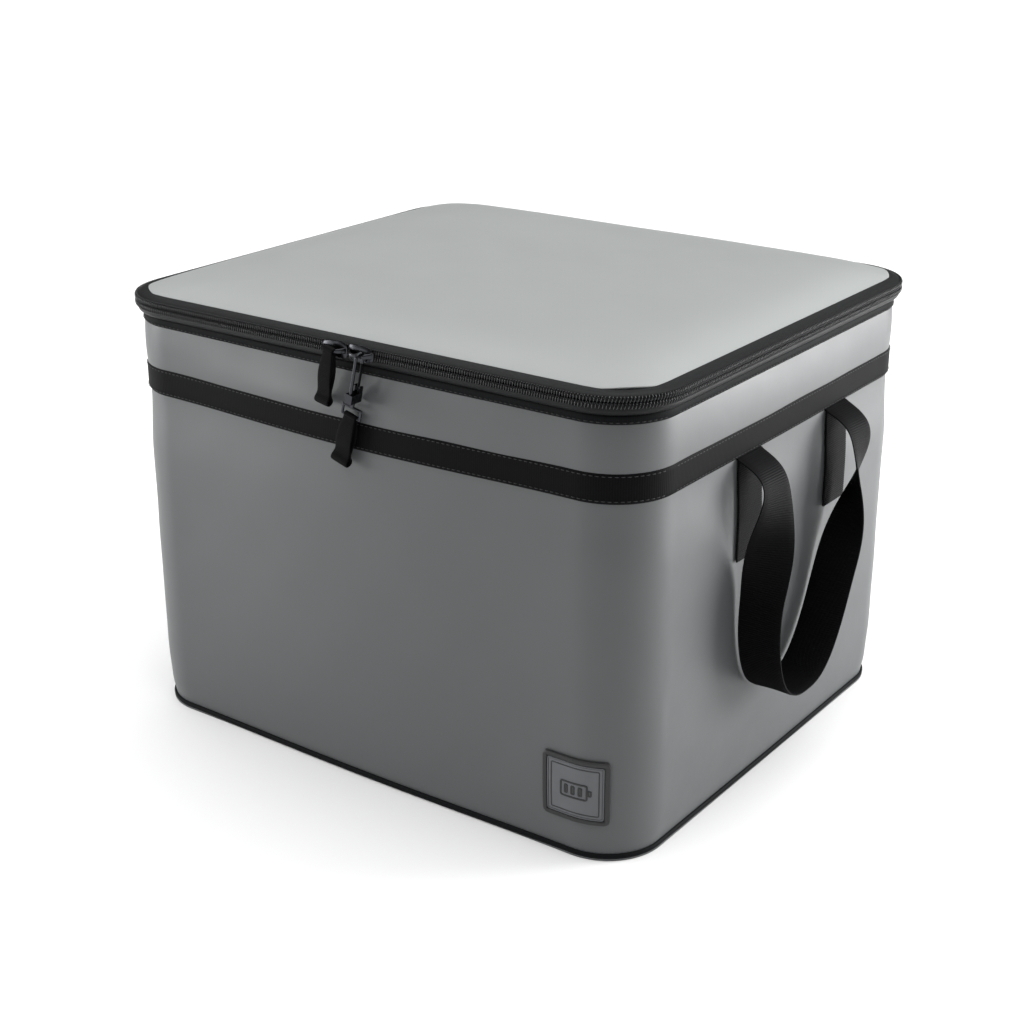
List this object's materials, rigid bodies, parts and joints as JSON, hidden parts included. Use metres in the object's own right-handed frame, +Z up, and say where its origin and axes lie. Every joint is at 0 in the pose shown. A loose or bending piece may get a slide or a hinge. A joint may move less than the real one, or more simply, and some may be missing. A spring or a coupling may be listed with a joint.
{
  "type": "fire-resistant battery storage bag",
  "caption": "Padded rectangular battery bag with a zipped back-hinged lid, pulls with a snap hook, and webbing handles on both sides.",
  "frame": {"origin": "centre of the base, on the surface the bag stands on", "axes": "+Z up, front (zip sliders and badge) towards -Y, +X to the right-hand handle"},
  "size_m": [0.4786, 0.3849, 0.3172],
  "materials": {
    "body_fabric": "satin coated",
    "lid_fabric": "satin coated",
    "base_fabric": "matte",
    "webbing": "ribbed weave",
    "binding_tape": "woven",
    "zip_tape": "woven",
    "zip_coil": "satin",
    "foam": "matte",
    "board": "matte",
    "glass_lining": "silvery woven",
    "slider_metal": "gunmetal satin",
    "hook_wire": "gunmetal",
    "gate_metal": "black",
    "badge_rubber": "matte",
    "badge_grey": "matte"
  },
  "bodies": {
    "bag": {"base_panel": "base_fabric", "base_binding": "binding_tape", "base_board": "board", "base_foam": "foam", "floor_lining": "glass_lining", "main_wall": "body_fabric", "collar_wall": "body_fabric", "waist_band": "webbing", "collar_binding": "binding_tape", "wall_foam": "foam", "wall_lining": "glass_lining", "mouth_binding": "binding_tape", "lower_zip_tape": "zip_tape", "lower_zip_coil": "zip_coil", "hinge_tape_lower": "zip_tape", "badge_backing": "badge_rubber", "badge_frame": "badge_rubber", "badge_face": "badge_grey", "handle_root_right": "webbing", "handle_root_left": "webbing"},
    "lid": {"lid_panel": "lid_fabric", "lid_foam": "foam", "lid_lining": "glass_lining", "lid_edge_binding": "binding_tape", "upper_zip_tape": "zip_tape", "upper_zip_coil": "zip_coil", "hinge_tape_upper": "zip_tape"},
    "slider_left": {"slider_left": "slider_metal"},
    "slider_right": {"slider_right": "slider_metal"},
    "pull_left": {"pull_left": "webbing"},
    "hook": {"hook_frame": "hook_wire", "hook_gate_pin": "slider_metal"},
    "hook_gate": {"hook_gate": "gate_metal"},
    "hook_swivel": {"hook_eye": "hook_wire", "hook_tab": "webbing"},
    "handle_right": {"handle_loop_right": "webbing"},
    "handle_left": {"handle_loop_left": "webbing"}
  },
  "joints": [
    {"name": "lid_hinge", "type": "hinge", "parent": "bag", "child": "lid", "pos_m": [0, 0.187, 0.2982], "axis": [-1, 0, 0], "range_deg": [0, 170]},
    {"name": "slider_left_slide", "type": "slide", "parent": "bag", "child": "slider_left", "axis": [-1, 0, 0], "range_m": [0, 0.14]},
    {"name": "slider_right_slide", "type": "slide", "parent": "bag", "child": "slider_right", "axis": [1, 0, 0], "range_m": [0, 0.14]},
    {"name": "pull_left_swing", "type": "hinge", "parent": "slider_left", "child": "pull_left", "pos_m": [-0.007, -0.193, 0.2982], "axis": [-1, 0, 0], "range_deg": [0, 150]},
    {"name": "hook_swing", "type": "hinge", "parent": "slider_right", "child": "hook", "pos_m": [0.0175, -0.193, 0.2982], "axis": [-1, 0, 0], "range_deg": [0, 150]},
    {"name": "hook_gate_press", "type": "hinge", "parent": "hook", "child": "hook_gate", "pos_m": [0.01266, -0.19025, 0.27725], "axis": [0.9744, 0, -0.225], "range_deg": [0, 15], "stiffness_Nm_per_rad": 0.01, "springref_deg": -5.73},
    {"name": "hook_swivel_turn", "type": "hinge", "parent": "hook", "child": "hook_swivel", "pos_m": [0.01075, -0.193, 0.26897], "axis": [0.225, 0, 0.9744], "continuous": true},
    {"name": "handle_right_swing", "type": "hinge", "parent": "bag", "child": "handle_right", "pos_m": [0.21665, 0, 0.229], "axis": [0, -1, 0], "range_deg": [0, 110]},
    {"name": "handle_left_swing", "type": "hinge", "parent": "bag", "child": "handle_left", "pos_m": [-0.21665, 0, 0.229], "axis": [0, 1, 0], "range_deg": [0, 110]}
  ]
}
